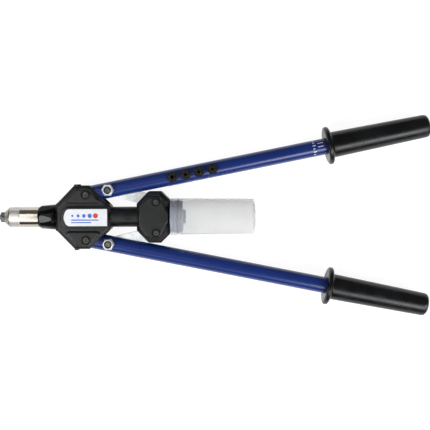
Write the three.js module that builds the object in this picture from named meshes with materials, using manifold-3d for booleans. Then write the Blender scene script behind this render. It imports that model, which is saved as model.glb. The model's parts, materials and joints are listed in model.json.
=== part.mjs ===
// Long-arm hand riveter: a lever tool that sets blind rivets. Millimetres, +Z up.
// X runs from the nose to the grips, Y across the two arms, and the tool lies flat on its grip flanges.
import * as THREE from "three";
import { mergeVertices } from "three/addons/utils/BufferGeometryUtils.js";
import Module from "manifold-3d";

const wasm = await Module();
wasm.setup();

// ---------- driving dimensions ----------
const GAP = 0.3; // clearance between touching parts
const ROUND = 24; // facets round a tube
const SMALL_ROUND = 12; // facets round a pin or a bolt hole

// Arms: 20 mm tube, swinging on pivots in the front housing.
const ARM_ANGLE = THREE.MathUtils.degToRad(11.24);
const PIVOT_X = -154.6;
const PIVOT_Y = 27.3;
const TUBE_R = 10;
const TUBE_BORE_R = 8;
const TUBE_FRONT = -9; // from the pivot, along the arm
const TUBE_REAR = 412;
const SLOT_HALF_WIDTH = 3.1;
const SLOT_FRONT = 16;
const SLOT_REAR = 97;
const BUSH_R = 6;
const PIN_R = 3.8;

// Grips: moulded sleeves with a round hand guard, which is what the tool rests on.
const GUARD_R = 23;
const GUARD_X = 295.4;
const GRIP_END = 422.6;
const GRIP_FRONT_R = 15.3;
const GRIP_REAR_R = 14;
const MID_Z = GUARD_R; // height of the tool's middle plane

// Links: flat bars from the lock bolts on the arms to the pins of the crosshead.
const BOLT_ALONG = 27; // lock bolt from the pivot, along the arm
const BOLT_R = 3.9;
const LINK_PIN_X = -69.9;
const LINK_PIN_Y = 18.5;
const LINK_HALF_WIDTH = 7;
const LINK_HALF_THICK = 2.5;
const LINK_EYE_R = 8.6;
const LINK_EYE_BORE_R = 5.9; // wide, so the linkage can stay open here
const LINK_PIN_R = 3.5;
const LINK_OPEN_TURN = THREE.MathUtils.degToRad(20); // how far the links tilt as the arms open
const HEX_AF = 13; // M8 nuts and bolt heads

// Front housing: two moulded halves.
const HOUSING_FRONT = -192.4;
const HOUSING_REAR = -124.9;
const HOUSING_TOP = 38.8;
const WING_Z = 16;
const BOSS_Z = 18;
const ARM_ROOM_Z = 10.4;
const SPLIT_Z = 0.15;
const CHANNEL_R = 12.8;
const NOSE_BLOCK_END = -171;
const REAR_BLOCK_START = -136;

// Nose: barrel, sleeve, nosepiece and the jaw case inside them.
const BARREL_FRONT = -212.8;
const BARREL_BORE_R = 9.8;
const STUB_R = 12;
const STUB_END = -178;
const SLEEVE_FRONT = -254.6;
const SLEEVE_R = 12.2;
const NOSE_TIP = -262;
const NOSE_HEX_AF = 12;
const NOSE_HEX_LENGTH = 4.8;
const NOSE_SHANK_R = 3;
const JAW_CASE_FRONT = -227.4;
const JAW_CASE_END = -193.4;
const JAW_CASE_R = 9.2;

// Crosshead: the sliding block that the links pull, with the traction tube through it.
const CROSS_FRONT = -94;
const CROSS_REAR = -53.7;
const CROSS_TOP = 31.2;
const CROSS_Z = 18.6;
const PANEL_Z = 20;
const TRACTION_R = 8.3;
const TRACTION_BORE_R = 4.5;
const TRACTION_FRONT = -200;
const TRACTION_END = -34.8;
const GUIDE_TUBE_R = 12.4;
const GUIDE_BUSH_R = 14;
const GUIDE_TUBE_FRONT = -150;

// Collector for the broken mandrels.
const SPIGOT_R = 19.6;
const SPIGOT_END = -38.7;
const BOTTLE_FRONT = -53.3;
const BOTTLE_END = 49.2;
const BOTTLE_FRONT_R = 22.4;
const BOTTLE_END_R = 21.6;
const BOTTLE_WALL = 1.2;

// ---------- materials ----------
const paint = (color, roughness, metalness) =>
  new THREE.MeshStandardMaterial({ color, roughness, metalness });
const BLACK_PLASTIC = paint(0x222324, 0.6, 0);
const BLUE_PAINT = paint(0x1a2a70, 0.3, 0.3);
const GRIP_PLASTIC = paint(0x1b1b1c, 0.55, 0);
const GLOSS_BLACK = paint(0x0a0a08, 0.2, 0.2);
const NICKEL = paint(0xb0a898, 0.25, 1);
const ZINC = paint(0xd2cec2, 0.35, 1);
const BLACK_STEEL = paint(0x2e2e28, 0.45, 0.8);
const STEEL = paint(0x8c8c88, 0.35, 1);
const BRONZE = paint(0x9a7444, 0.5, 0.9);
const NYLON = paint(0x1f4a58, 0.5, 0);
const SLATE = paint(0x5a6c80, 0.5, 0);
const RUBBER = paint(0x151515, 0.8, 0);
const MILKY = paint(0xd8d8da, 0.4, 0);
const LABEL = paint(0xdfe2e4, 0.35, 0.3);

// ---------- solids ----------
// Turns a three.js geometry into a solid that can be joined and cut.
function toSolid(geometry) {
  const flat = geometry.index ? geometry.toNonIndexed() : geometry;
  const bare = new THREE.BufferGeometry().setAttribute("position", flat.getAttribute("position"));
  const merged = mergeVertices(bare, 1e-4);
  return new wasm.Manifold(
    new wasm.Mesh({
      numProp: 3,
      vertProperties: merged.attributes.position.array,
      triVerts: new Uint32Array(merged.index.array),
    }),
  );
}

// Turns a solid back into a three.js geometry.
function toGeometry(solid) {
  const mesh = solid.getMesh();
  const geometry = new THREE.BufferGeometry();
  geometry.setAttribute("position", new THREE.BufferAttribute(mesh.vertProperties, 3));
  geometry.setIndex(new THREE.BufferAttribute(mesh.triVerts, 1));
  const facets = geometry.toNonIndexed();
  facets.computeVertexNormals();
  return facets;
}

const union = (...solids) => solids.reduce((whole, piece) => whole.add(piece));
const cut = (body, ...tools) => tools.reduce((rest, tool) => rest.subtract(tool), body);

// A box between two corners.
function block([x0, y0, z0], [x1, y1, z1]) {
  const box = new THREE.BoxGeometry(x1 - x0, y1 - y0, z1 - z0);
  return toSolid(box.translate((x0 + x1) / 2, (y0 + y1) / 2, (z0 + z1) / 2));
}

// A round or prismatic bar along Z at (x, y), from z0 to z1.
function barZ(radius, z0, z1, x = 0, y = 0, sides = SMALL_ROUND) {
  const bar = new THREE.CylinderGeometry(radius, radius, z1 - z0, sides);
  return toSolid(bar.rotateX(Math.PI / 2).translate(x, y, (z0 + z1) / 2));
}

// A round bar along Y at (x, z), from y0 to y1.
function barY(radius, y0, y1, x, sides = SMALL_ROUND) {
  const bar = new THREE.CylinderGeometry(radius, radius, y1 - y0, sides);
  return toSolid(bar.translate(x, (y0 + y1) / 2, 0));
}

// A hexagon along Z, by its size across flats.
const hexZ = (acrossFlats, z0, z1) => barZ(acrossFlats / Math.sqrt(3), z0, z1, 0, 0, 6);

// A turned part about the X axis. The profile lists [x, radius], outer side first, towards +X.
function turned(profile, sides = ROUND) {
  const points = profile.map(([x, radius]) => new THREE.Vector2(radius, x));
  points.push(points[0].clone());
  return toSolid(new THREE.LatheGeometry(points, sides).rotateZ(-Math.PI / 2));
}

// A straight tube along X.
const pipe = (x0, x1, outer, inner, sides) =>
  turned([[x0, outer], [x1, outer], [x1, inner], [x0, inner]], sides);

// A solid bar along X.
const barX = (x0, x1, radius, sides) => turned([[x0, 0], [x0, radius], [x1, radius], [x1, 0]], sides);

// A plate with the given outline between z0 and z1, with chamfered rims.
function plate(outline, z0, z1, chamfer = 0) {
  const shape = new THREE.Shape(outline.map(([x, y]) => new THREE.Vector2(x, y)));
  const slab = new THREE.ExtrudeGeometry(shape, {
    depth: z1 - z0 - 2 * chamfer,
    bevelEnabled: chamfer > 0,
    bevelThickness: chamfer,
    bevelSize: chamfer,
    bevelOffset: -chamfer,
    bevelSegments: 1,
  });
  return toSolid(slab.translate(0, 0, z0 + chamfer));
}

// Repeats the upper half of an outline, listed towards +X, below the X axis.
const bothHalves = (upper) => [...upper, ...upper.map(([x, y]) => [x, -y]).reverse()];

// Keeps the half of a solid on one side of the split plane: side 1 is the front half, -1 the back.
function halfOf(solid, side) {
  const far = 60;
  const [low, high] = side > 0 ? [SPLIT_Z, far] : [-far, -SPLIT_Z];
  return solid.intersect(block([-400, -far, low], [400, far, high]));
}

// Adds a named part to a group.
function add(group, name, solid, material) {
  const mesh = new THREE.Mesh(toGeometry(solid), material);
  mesh.name = name;
  group.add(mesh);
  return mesh;
}

// ---------- front housing ----------
function housingHalf(side) {
  const outline = bothHalves([
    [HOUSING_FRONT, 15.5],
    [HOUSING_FRONT + 2.8, 17],
    [-168.8, HOUSING_TOP],
    [-150.5, HOUSING_TOP],
    [-126.1, 15.2],
    [HOUSING_REAR, 12.9],
  ]);
  const bossOutline = bothHalves([
    [-184.2, 4.5],
    [-182.2, 9],
    [-177.7, 12.6],
    [-129.2, 12.6],
    [-126.8, 10.2],
  ]);
  const armRoom = bothHalves([
    [NOSE_BLOCK_END, 33.4],
    [-164, 40.8],
    [-164, 50],
    [-110, 50],
  ]);
  const rearBlock = block([REAR_BLOCK_START, -15.4, -20], [-100, 15.4, 20]);
  const shell = union(plate(outline, -WING_Z, WING_Z, 4), plate(bossOutline, -BOSS_Z, BOSS_Z, 1.2));
  let half = cut(
    shell,
    cut(plate(armRoom, -ARM_ROOM_Z, ARM_ROOM_Z), rearBlock),
    barX(NOSE_BLOCK_END - 0.1, REAR_BLOCK_START + 4, CHANNEL_R),
    barX(HOUSING_FRONT - 1, NOSE_BLOCK_END, STUB_R + GAP),
    barX(REAR_BLOCK_START, HOUSING_REAR + 2, CHANNEL_R),
    barX(-134.3, -126.9, GUIDE_BUSH_R + GAP),
  );
  for (const y of [PIVOT_Y, -PIVOT_Y]) {
    half = cut(
      half,
      barZ(PIN_R + GAP, -30, 30, PIVOT_X, y),
      barZ(5.2, WING_Z - 2.2, 30, PIVOT_X, y),
      barZ(5.2, -30, 2.2 - WING_Z, PIVOT_X, y),
    );
  }
  return halfOf(half, side);
}

// A pin with a flat head at the back, for a hole with a recess at both ends.
const headedPin = (radius, faceZ) =>
  union(barZ(radius, 1.9 - faceZ, faceZ - 0.6), barZ(radius + 1, 0.5 - faceZ, 1.9 - faceZ));

// The spring clip that holds a pin's front end in its recess.
const clip = (radius, faceZ) =>
  cut(barZ(radius + 1, faceZ - 1.9, faceZ - 1.1), barZ(radius + 0.2, -30, 30));

// ---------- nose ----------
function noseBarrel() {
  const body = turned([
    [BARREL_FRONT, 12.7],
    [BARREL_FRONT + 2.4, 13.9],
    [BARREL_FRONT + 17, 15.2],
    [HOUSING_FRONT - GAP, 15.2],
    [HOUSING_FRONT - GAP, STUB_R],
    [STUB_END, STUB_R],
    [STUB_END, BARREL_BORE_R],
    [BARREL_FRONT, BARREL_BORE_R],
  ]);
  const frontApothem = 12.1;
  const rearApothem = 17.6;
  const length = 36.5;
  const hexCone = new THREE.CylinderGeometry(
    rearApothem / Math.cos(Math.PI / 6),
    frontApothem / Math.cos(Math.PI / 6),
    length,
    6,
  );
  return body.intersect(toSolid(hexCone.rotateZ(-Math.PI / 2).translate(BARREL_FRONT + length / 2, 0, 0)));
}

const noseSleeve = () =>
  turned([
    [SLEEVE_FRONT, 7.8],
    [-248.9, 12],
    [-248.2, 12.3],
    [-235.4, 12.3],
    [-235, SLEEVE_R],
    [BARREL_FRONT - GAP, SLEEVE_R],
    [BARREL_FRONT - GAP, 9.9],
    [-248.3, 9.9],
    [-248.3, NOSE_SHANK_R + GAP],
    [SLEEVE_FRONT, NOSE_SHANK_R + GAP],
  ]);

// A nosepiece along Z: shank, hexagon and round tip, bored for one mandrel size.
function nosepiece(boreR, tipR, tipLength) {
  const shankLength = 4;
  const body = union(
    barZ(NOSE_SHANK_R, -shankLength, 0.5),
    hexZ(NOSE_HEX_AF, 0, NOSE_HEX_LENGTH),
    barZ(tipR, NOSE_HEX_LENGTH - 0.5, NOSE_HEX_LENGTH + tipLength),
  );
  return cut(body, barZ(boreR, -10, 20));
}

const jawCone = (clearance) => [
  [JAW_CASE_FRONT + 0.8, 3 - clearance],
  [-212, 7.4 - clearance],
];

function jawCase() {
  const [coneFront, coneRear] = jawCone(0);
  return turned([
    [JAW_CASE_FRONT, 6.5],
    [-224, JAW_CASE_R],
    [JAW_CASE_END, JAW_CASE_R],
    [JAW_CASE_END, 7.7],
    [coneRear[0], 7.7],
    coneRear,
    coneFront,
    [JAW_CASE_FRONT, 3],
  ]);
}

// One of the three serrated jaws, a 120 degree segment of a cone.
function jaw(index) {
  const [front, rear] = jawCone(0.35);
  const whole = turned([[front[0] + 0.3, front[1]], [-214.2, 6.4], [-214.2, 1.4], [front[0] + 0.3, 1.4]], 24);
  const edge = THREE.MathUtils.degToRad(58);
  const reach = 20;
  const sector = new THREE.Shape([
    new THREE.Vector2(0.25, 0),
    new THREE.Vector2(reach * Math.cos(edge), -reach * Math.sin(edge)),
    new THREE.Vector2(reach * 2, 0),
    new THREE.Vector2(reach * Math.cos(edge), reach * Math.sin(edge)),
  ]);
  const wedge = new THREE.ExtrudeGeometry(sector, { depth: 30, bevelEnabled: false });
  wedge.rotateZ((index * 2 * Math.PI) / 3).rotateY(Math.PI / 2).translate(-235, 0, 0);
  return whole.intersect(toSolid(wedge));
}

const jawPusher = () =>
  turned([[-213.9, 5.4], [-213, 7], [-209.8, 7], [-209.8, 2], [-213.9, 2]], 24);

// Compression spring behind the jaws, its tail inside the traction tube's counterbore.
function jawSpring() {
  const turns = 4;
  const start = -209.2;
  const length = 7.4;
  const coilR = 4.4;
  const steps = turns * 10;
  const points = [];
  for (let i = 0; i <= steps; i++) {
    const angle = (i / steps) * turns * 2 * Math.PI;
    points.push(
      new THREE.Vector3(start + (i / steps) * length, coilR * Math.cos(angle), coilR * Math.sin(angle)),
    );
  }
  const wire = new THREE.Shape().absarc(0, 0, 0.6, 0, 2 * Math.PI);
  return toSolid(
    new THREE.ExtrudeGeometry(wire, {
      steps,
      curveSegments: 2,
      extrudePath: new THREE.CatmullRomCurve3(points),
    }),
  );
}

// ---------- crosshead ----------
// The room that a link sweeps inside the crosshead, as a flat pocket.
function linkPocket(side) {
  const rest = Math.atan2(boltY() - LINK_PIN_Y, boltX() - LINK_PIN_X);
  const open = rest - LINK_OPEN_TURN;
  const halfRoom = LINK_HALF_WIDTH + 2;
  const reach = 45;
  const corner = (angle, along, across) => [
    LINK_PIN_X + along * Math.cos(angle) - across * Math.sin(angle),
    side * (LINK_PIN_Y + along * Math.sin(angle) + across * Math.cos(angle)),
  ];
  const fan = [
    corner(rest, 0, halfRoom - 0.8),
    corner(rest, reach, halfRoom - 0.8),
    corner(open, reach, -halfRoom),
    corner(open, 0, -halfRoom),
  ];
  const z = LINK_HALF_THICK + 0.5;
  return union(
    plate(side > 0 ? fan.reverse() : fan, -z, z),
    barZ(LINK_EYE_R + 2.3, -z, z, LINK_PIN_X, side * LINK_PIN_Y, ROUND),
  );
}

const boltX = () => PIVOT_X + BOLT_ALONG * Math.cos(ARM_ANGLE);
const boltY = () => PIVOT_Y + BOLT_ALONG * Math.sin(ARM_ANGLE);

function crossheadHalf(side) {
  const outline = bothHalves([
    [CROSS_FRONT, 16.6],
    [-80.2, CROSS_TOP - 0.9],
    [-78.6, CROSS_TOP],
    [-64.9, CROSS_TOP],
    [CROSS_REAR, 20.6],
  ]);
  const panelOutline = bothHalves([
    [-91.2, 5],
    [-86.6, 16],
    [-79, 24.2],
    [-65.4, 24.2],
    [-55, 5],
  ]);
  let half = cut(
    union(plate(outline, -CROSS_Z, CROSS_Z, 3.5), plate(panelOutline, -PANEL_Z, PANEL_Z, 1)),
    barX(-100, -40, TRACTION_R + GAP),
    barX(-100, -91.4, GUIDE_TUBE_R + GAP),
    barX(-59.8, -56.6, 12.8),
    barX(-57, -40, 10.8),
    linkPocket(1),
    linkPocket(-1),
  );
  for (const y of [LINK_PIN_Y, -LINK_PIN_Y]) {
    half = cut(
      half,
      barZ(LINK_PIN_R + GAP, -30, 30, LINK_PIN_X, y),
      barZ(4.8, PANEL_Z - 2.2, 30, LINK_PIN_X, y),
      barZ(4.8, -30, 2.2 - PANEL_Z, LINK_PIN_X, y),
    );
  }
  return halfOf(half, side);
}

// The tube that pulls the jaws, with a counterbore for their spring.
const tractionTube = () =>
  turned([
    [TRACTION_FRONT, 7.3],
    [JAW_CASE_END + GAP, 7.3],
    [JAW_CASE_END + GAP, TRACTION_R],
    [TRACTION_END, TRACTION_R],
    [TRACTION_END, TRACTION_BORE_R],
    [-194, TRACTION_BORE_R],
    [-194, 5.7],
    [TRACTION_FRONT, 5.7],
  ]);

// The threaded spigot that the collector bottle pushes onto.
const collectorSocket = () =>
  turned([
    [-59.5, 12.5],
    [-56.9, 12.5],
    [-56.9, 10.5],
    [-53.4, 10.5],
    [-53.4, SPIGOT_R],
    [-46, SPIGOT_R],
    [-46, 18.2],
    [-43, 18.2],
    [-43, SPIGOT_R],
    [SPIGOT_END, SPIGOT_R],
    [SPIGOT_END, TRACTION_R + GAP],
    [-59.5, TRACTION_R + GAP],
  ]);

const collectorBottle = () =>
  turned([
    [BOTTLE_FRONT, BOTTLE_FRONT_R],
    [BOTTLE_END - 1.5, BOTTLE_END_R],
    [BOTTLE_END, BOTTLE_END_R - 1.5],
    [BOTTLE_END, 0],
    [BOTTLE_END - BOTTLE_WALL, 0],
    [BOTTLE_END - BOTTLE_WALL, BOTTLE_END_R - BOTTLE_WALL - 1],
    [BOTTLE_END - 2.4, BOTTLE_END_R - BOTTLE_WALL],
    [BOTTLE_FRONT, BOTTLE_FRONT_R - BOTTLE_WALL],
  ]);

// ---------- arms, each in a frame with its pivot at the origin and the tube along +X ----------
function armTube(side, spareHoles) {
  const inner = -side; // the slot faces the other arm
  const slotSpan = [Math.min(0, inner * 20), Math.max(0, inner * 20)];
  let tube = cut(
    pipe(TUBE_FRONT, TUBE_REAR, TUBE_R, TUBE_BORE_R),
    barZ(BUSH_R + GAP, -20, 20),
    barZ(BOLT_R + GAP, -20, 20, BOLT_ALONG),
    block([SLOT_FRONT, slotSpan[0], -SLOT_HALF_WIDTH], [SLOT_REAR, slotSpan[1], SLOT_HALF_WIDTH]),
    barY(SLOT_HALF_WIDTH, slotSpan[0], slotSpan[1], SLOT_FRONT),
    barY(SLOT_HALF_WIDTH, slotSpan[0], slotSpan[1], SLOT_REAR),
  );
  for (const along of spareHoles) {
    tube = cut(tube, barZ(NOSE_SHANK_R + GAP, 0, 20, along));
  }
  return tube;
}

const pivotBush = () => cut(barZ(BUSH_R, -10.2, 10.2), barZ(PIN_R + 0.2, -20, 20));

const lockBolt = () => union(hexZ(HEX_AF, -15.6, -10.3), barZ(BOLT_R, -11, 18.2));

function lockNut() {
  const body = union(hexZ(HEX_AF, 10.3, 16), barZ(5.9, 15.5, 17.8));
  return cut(body, barZ(BOLT_R + GAP, 0, 30), barZ(5.2, 15.2, 30));
}

const nutInsert = () => cut(barZ(4.9, 15.5, 17.5), barZ(BOLT_R + GAP, 0, 30));

const linkSpacer = (side) =>
  cut(barZ(5.2, side > 0 ? 2.9 : -5.9, side > 0 ? 5.9 : -2.9), barZ(BOLT_R + GAP, -20, 20));

const grip = () =>
  turned(
    [
      [GUARD_X, 20.5],
      [GUARD_X + 0.8, 22.4],
      [GUARD_X + 2, GUARD_R],
      [GUARD_X + 5.2, GUARD_R],
      [GUARD_X + 6.6, 21],
      [GUARD_X + 8.6, 16.6],
      [GUARD_X + 13.6, GRIP_FRONT_R],
      [GRIP_END - 6, GRIP_REAR_R],
      [GRIP_END - 3, 13.3],
      [GRIP_END - 0.8, 11],
      [GRIP_END, 8.4],
      [GRIP_END, 0],
      [TUBE_REAR + 1.5, 0],
      [TUBE_REAR + 1.5, TUBE_R + GAP],
      [GUARD_X, TUBE_R + GAP],
    ],
    28,
  );

const SPARE_BORES = [2.2, 1.6, 1.5, 1.2];
const spareAlong = (index) => 106 + 16.4 * index;

function addArm(parent, word, side) {
  const arm = new THREE.Group();
  arm.position.set(PIVOT_X, side * PIVOT_Y, 0);
  arm.rotation.z = side * ARM_ANGLE;
  parent.add(arm);

  const spares = side > 0 ? SPARE_BORES : [];
  add(arm, `${word}_arm_tube`, armTube(side, spares.map((_, i) => spareAlong(i))), BLUE_PAINT);
  add(arm, `${word}_pivot_bush`, pivotBush(), BRONZE);
  add(arm, `${word}_grip`, grip(), GRIP_PLASTIC);
  spares.forEach((boreR, i) => {
    const spare = add(arm, `spare_nosepiece_${i + 1}`, nosepiece(boreR, 3.8, 2.4), BLACK_STEEL);
    spare.position.set(spareAlong(i), 0, TUBE_R + GAP);
  });

  const fastening = new THREE.Group();
  fastening.position.x = BOLT_ALONG;
  arm.add(fastening);
  add(fastening, `${word}_link_bolt`, lockBolt(), ZINC);
  add(fastening, `${word}_lock_nut`, lockNut(), ZINC);
  add(fastening, `${word}_nut_insert`, nutInsert(), NYLON);
  add(fastening, `${word}_link_spacer_front`, linkSpacer(1), STEEL);
  add(fastening, `${word}_link_spacer_back`, linkSpacer(-1), STEEL);
}

// A link in its own frame: the lock bolt at the origin, the crosshead pin along +X.
function addLink(parent, word, side) {
  const dx = LINK_PIN_X - boltX();
  const dy = LINK_PIN_Y - boltY();
  const length = Math.hypot(dx, dy);
  const z = LINK_HALF_THICK;
  const bar = cut(
    union(
      block([0, -LINK_HALF_WIDTH, -z], [length, LINK_HALF_WIDTH, z]),
      barZ(LINK_HALF_WIDTH, -z, z, 0, 0, ROUND),
      barZ(LINK_EYE_R, -z, z, length, 0, ROUND),
    ),
    barZ(BOLT_R + GAP, -9, 9),
    barZ(LINK_EYE_BORE_R, -9, 9, length, 0, ROUND),
  );
  const link = add(parent, `${word}_link`, bar, ZINC);
  link.position.set(boltX(), side * boltY(), 0);
  link.rotation.z = side * Math.atan2(dy, dx);
}

// ---------- assembly ----------
const riveter = new THREE.Group();
riveter.position.z = MID_Z;

add(riveter, "front_cover", housingHalf(1), BLACK_PLASTIC);
add(riveter, "back_cover", housingHalf(-1), BLACK_PLASTIC);
const labelOutline = bothHalves([[-180.4, 3.2], [-178.6, 7.4], [-174.6, 10.2], [-128.4, 10.2]]);
add(riveter, "label_plate", plate(labelOutline, BOSS_Z + 0.1, BOSS_Z + 0.6), LABEL);
add(riveter, "nose_barrel", noseBarrel(), GLOSS_BLACK);
add(riveter, "nose_sleeve", noseSleeve(), NICKEL);
const noseTipLength = SLEEVE_FRONT - GAP - NOSE_HEX_LENGTH - NOSE_TIP;
const fitted = add(riveter, "nosepiece", nosepiece(1.7, 2.8, noseTipLength), BLACK_STEEL);
fitted.rotation.y = -Math.PI / 2;
fitted.position.x = SLEEVE_FRONT - GAP;
add(riveter, "front_guide_bush", pipe(-177.5, -171.5, STUB_R, TRACTION_R + GAP), BRONZE);
add(riveter, "rear_guide_bush", pipe(-134, -127.2, GUIDE_BUSH_R, GUIDE_TUBE_R + GAP), BRONZE);

add(riveter, "traction_tube", tractionTube(), STEEL);
add(riveter, "sleeve_tube", pipe(GUIDE_TUBE_FRONT, -91.7, GUIDE_TUBE_R, TRACTION_R + GAP), BLACK_PLASTIC);
add(riveter, "crosshead_front_cover", crossheadHalf(1), BLACK_PLASTIC);
add(riveter, "crosshead_back_cover", crossheadHalf(-1), BLACK_PLASTIC);
add(riveter, "jaw_case", jawCase(), STEEL);
add(riveter, "jaw_pusher", jawPusher(), STEEL);
add(riveter, "jaw_spring", jawSpring(), STEEL);
for (const index of [0, 1, 2]) {
  add(riveter, `jaw_${index + 1}`, jaw(index), BLACK_STEEL);
}
add(riveter, "collector_socket", collectorSocket(), SLATE);
add(riveter, "collector_seal", pipe(-45.7, -43.3, 20.8, 18.5), RUBBER);
add(riveter, "collector_bottle", collectorBottle(), MILKY);

for (const [word, side] of [["upper", 1], ["lower", -1]]) {
  const pinAt = (name, solid, x, y) => add(riveter, name, solid, STEEL).position.set(x, y, 0);
  pinAt(`${word}_pivot_pin`, headedPin(PIN_R, WING_Z), PIVOT_X, side * PIVOT_Y);
  pinAt(`${word}_pivot_clip`, clip(PIN_R, WING_Z), PIVOT_X, side * PIVOT_Y);
  pinAt(`${word}_link_pin`, headedPin(LINK_PIN_R, PANEL_Z), LINK_PIN_X, side * LINK_PIN_Y);
  pinAt(`${word}_link_clip`, clip(LINK_PIN_R, PANEL_Z), LINK_PIN_X, side * LINK_PIN_Y);
  addArm(riveter, word, side);
  addLink(riveter, word, side);
}

export default riveter;
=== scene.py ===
"""Looks of a long-arm hand riveter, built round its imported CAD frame.

Every piece is modelled in millimetres in the tool's own frame, with the middle plane at z = 0, and is
placed in the row frame by a matrix. Arm pieces are modelled in an arm frame, pivot at the origin.
"""

import json
import math

import bmesh
import bpy
from mathutils import Matrix, Vector


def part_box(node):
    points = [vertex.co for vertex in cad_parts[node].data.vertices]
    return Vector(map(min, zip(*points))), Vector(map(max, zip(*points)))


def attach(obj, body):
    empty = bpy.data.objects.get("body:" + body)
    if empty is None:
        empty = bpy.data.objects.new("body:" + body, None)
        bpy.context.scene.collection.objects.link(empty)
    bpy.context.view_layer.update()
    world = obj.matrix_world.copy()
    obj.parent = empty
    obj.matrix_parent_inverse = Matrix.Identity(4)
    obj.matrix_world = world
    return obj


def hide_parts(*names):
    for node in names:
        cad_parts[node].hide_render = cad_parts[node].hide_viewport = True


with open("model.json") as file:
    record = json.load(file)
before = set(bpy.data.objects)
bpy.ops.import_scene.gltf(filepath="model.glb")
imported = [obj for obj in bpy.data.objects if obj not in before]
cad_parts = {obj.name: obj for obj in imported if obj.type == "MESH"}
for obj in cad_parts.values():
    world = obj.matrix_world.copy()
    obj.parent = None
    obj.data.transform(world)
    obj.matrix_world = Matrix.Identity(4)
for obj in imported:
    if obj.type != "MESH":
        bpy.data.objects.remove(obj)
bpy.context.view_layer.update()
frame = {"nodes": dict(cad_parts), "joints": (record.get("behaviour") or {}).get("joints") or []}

MM = 0.001
JOINTS = {j["name"]: j for j in frame["joints"]}
PIVOT = Vector(JOINTS["upper_arm_hinge"]["pos_m"]) / MM
BOLT = Vector(JOINTS["upper_link_hinge"]["pos_m"]) / MM
MID_Z = PIVOT.z
ARM_ANGLE = math.atan2(BOLT.y - PIVOT.y, BOLT.x - PIVOT.x)
BOLT_ALONG = math.hypot(BOLT.x - PIVOT.x, BOLT.y - PIVOT.y)


def span(node):
    """Lowest and highest corner of a CAD node in the tool frame, in millimetres."""
    low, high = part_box(node)
    shift = Vector((0, 0, MID_Z))
    return low / MM - shift, high / MM - shift


TOOL = Matrix.Scale(MM, 4) @ Matrix.Translation((0, 0, MID_Z))


def arm_frame(side):
    """Matrix of an arm's own frame: pivot at the origin, tube along +X."""
    place = Matrix.Translation((PIVOT.x, side * PIVOT.y, 0))
    return TOOL @ place @ Matrix.Rotation(side * ARM_ANGLE, 4, "Z")


# ---------------------------------------------------------------- materials


NOISE_LOW, NOISE_HIGH = 0.3, 0.7


class Nodes:
    """A small helper that adds shader nodes to one material."""

    def __init__(self, name):
        self.material = bpy.data.materials.new(name)
        self.material.use_nodes = True
        self.tree = self.material.node_tree
        self.shader = self.tree.nodes["Principled BSDF"]
        self.coords = self.tree.nodes.new("ShaderNodeTexCoord").outputs["Object"]

    def add(self, kind, **values):
        """Adds a node; a value sets its property or, failing that, the input of that name."""
        node = self.tree.nodes.new(kind)
        for key, value in values.items():
            if hasattr(node, key):
                setattr(node, key, value)
            else:
                node.inputs[key.replace("_", " ")].default_value = value
        return node

    def link(self, output, socket):
        self.tree.links.new(output, socket)

    def stretched(self, scale):
        """Object coordinates multiplied by a scale for each axis."""
        node = self.add("ShaderNodeMapping")
        node.inputs["Scale"].default_value = scale
        self.link(self.coords, node.inputs["Vector"])
        return node.outputs["Vector"]

    def noise(self, scale, detail=3.0, vector=None):
        node = self.add("ShaderNodeTexNoise", Scale=scale, Detail=detail)
        self.link(vector or self.coords, node.inputs["Vector"])
        return node.outputs["Fac"]

    def ramp(self, factor, stops):
        """Colour ramp with (position, colour) stops."""
        node = self.add("ShaderNodeValToRGB")
        ramp = node.color_ramp
        ramp.elements[0].position, ramp.elements[0].color = stops[0][0], (*stops[0][1], 1)
        ramp.elements[1].position, ramp.elements[1].color = stops[-1][0], (*stops[-1][1], 1)
        for position, colour in stops[1:-1]:
            ramp.elements.new(position).color = (*colour, 1)
        self.link(factor, node.inputs["Fac"])
        return node.outputs["Color"]

    def range(self, factor, low, high):
        """A noise factor spread between two values."""
        node = self.add("ShaderNodeMapRange")
        node.inputs["From Min"].default_value = NOISE_LOW
        node.inputs["From Max"].default_value = NOISE_HIGH
        node.inputs["To Min"].default_value = low
        node.inputs["To Max"].default_value = high
        self.link(factor, node.inputs["Value"])
        return node.outputs["Result"]

    def bump(self, height, strength, distance):
        node = self.add("ShaderNodeBump", Strength=strength, Distance=distance)
        self.link(height, node.inputs["Height"])
        self.link(node.outputs["Normal"], self.shader.inputs["Normal"])

    def roughness(self, scale, detail, low, high):
        """Roughness that drifts with a noise."""
        self.link(self.range(self.noise(scale, detail), low, high), self.shader.inputs["Roughness"])

    def colour(self, factor, stops):
        """Base colour from a ramp over a factor."""
        self.link(self.ramp(factor, stops), self.shader.inputs["Base Color"])

    def set(self, **values):
        """Sets constants on the shader, with underscores for spaces."""
        for key, value in values.items():
            self.shader.inputs[key.replace("_", " ")].default_value = value


def moulded_plastic(name, dark, light, roughness, grain=1400.0, strength=0.16, gloss=0.5):
    """Matte moulded plastic: slow colour drift, fine grain and rubbed patches."""
    n = Nodes(name)
    drift = n.noise(38.0, 4.0)
    n.colour(drift, [(0.32, dark), (0.7, light)])
    n.roughness(75.0, 5.0, roughness - 0.07, roughness + 0.08)
    n.bump(n.noise(grain, 2.0), strength, 0.0002)
    n.set(IOR=1.5, Specular_IOR_Level=gloss)
    return n.material


def painted_tube():
    """Deep blue powder coat, a little orange peel under a clear gloss."""
    n = Nodes("blue_paint")
    n.colour(n.noise(22.0), [(0.3, (0.0064, 0.0234, 0.150)), (0.72, (0.0077, 0.0268, 0.167))])
    n.roughness(60.0, 4.0, 0.27, 0.31)
    n.bump(n.noise(420.0, 2.0), 0.006, 0.0004)
    n.set(IOR=1.5, Specular_IOR_Level=0.3, Coat_Weight=0.45, Coat_Roughness=0.12)
    return n.material


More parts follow.
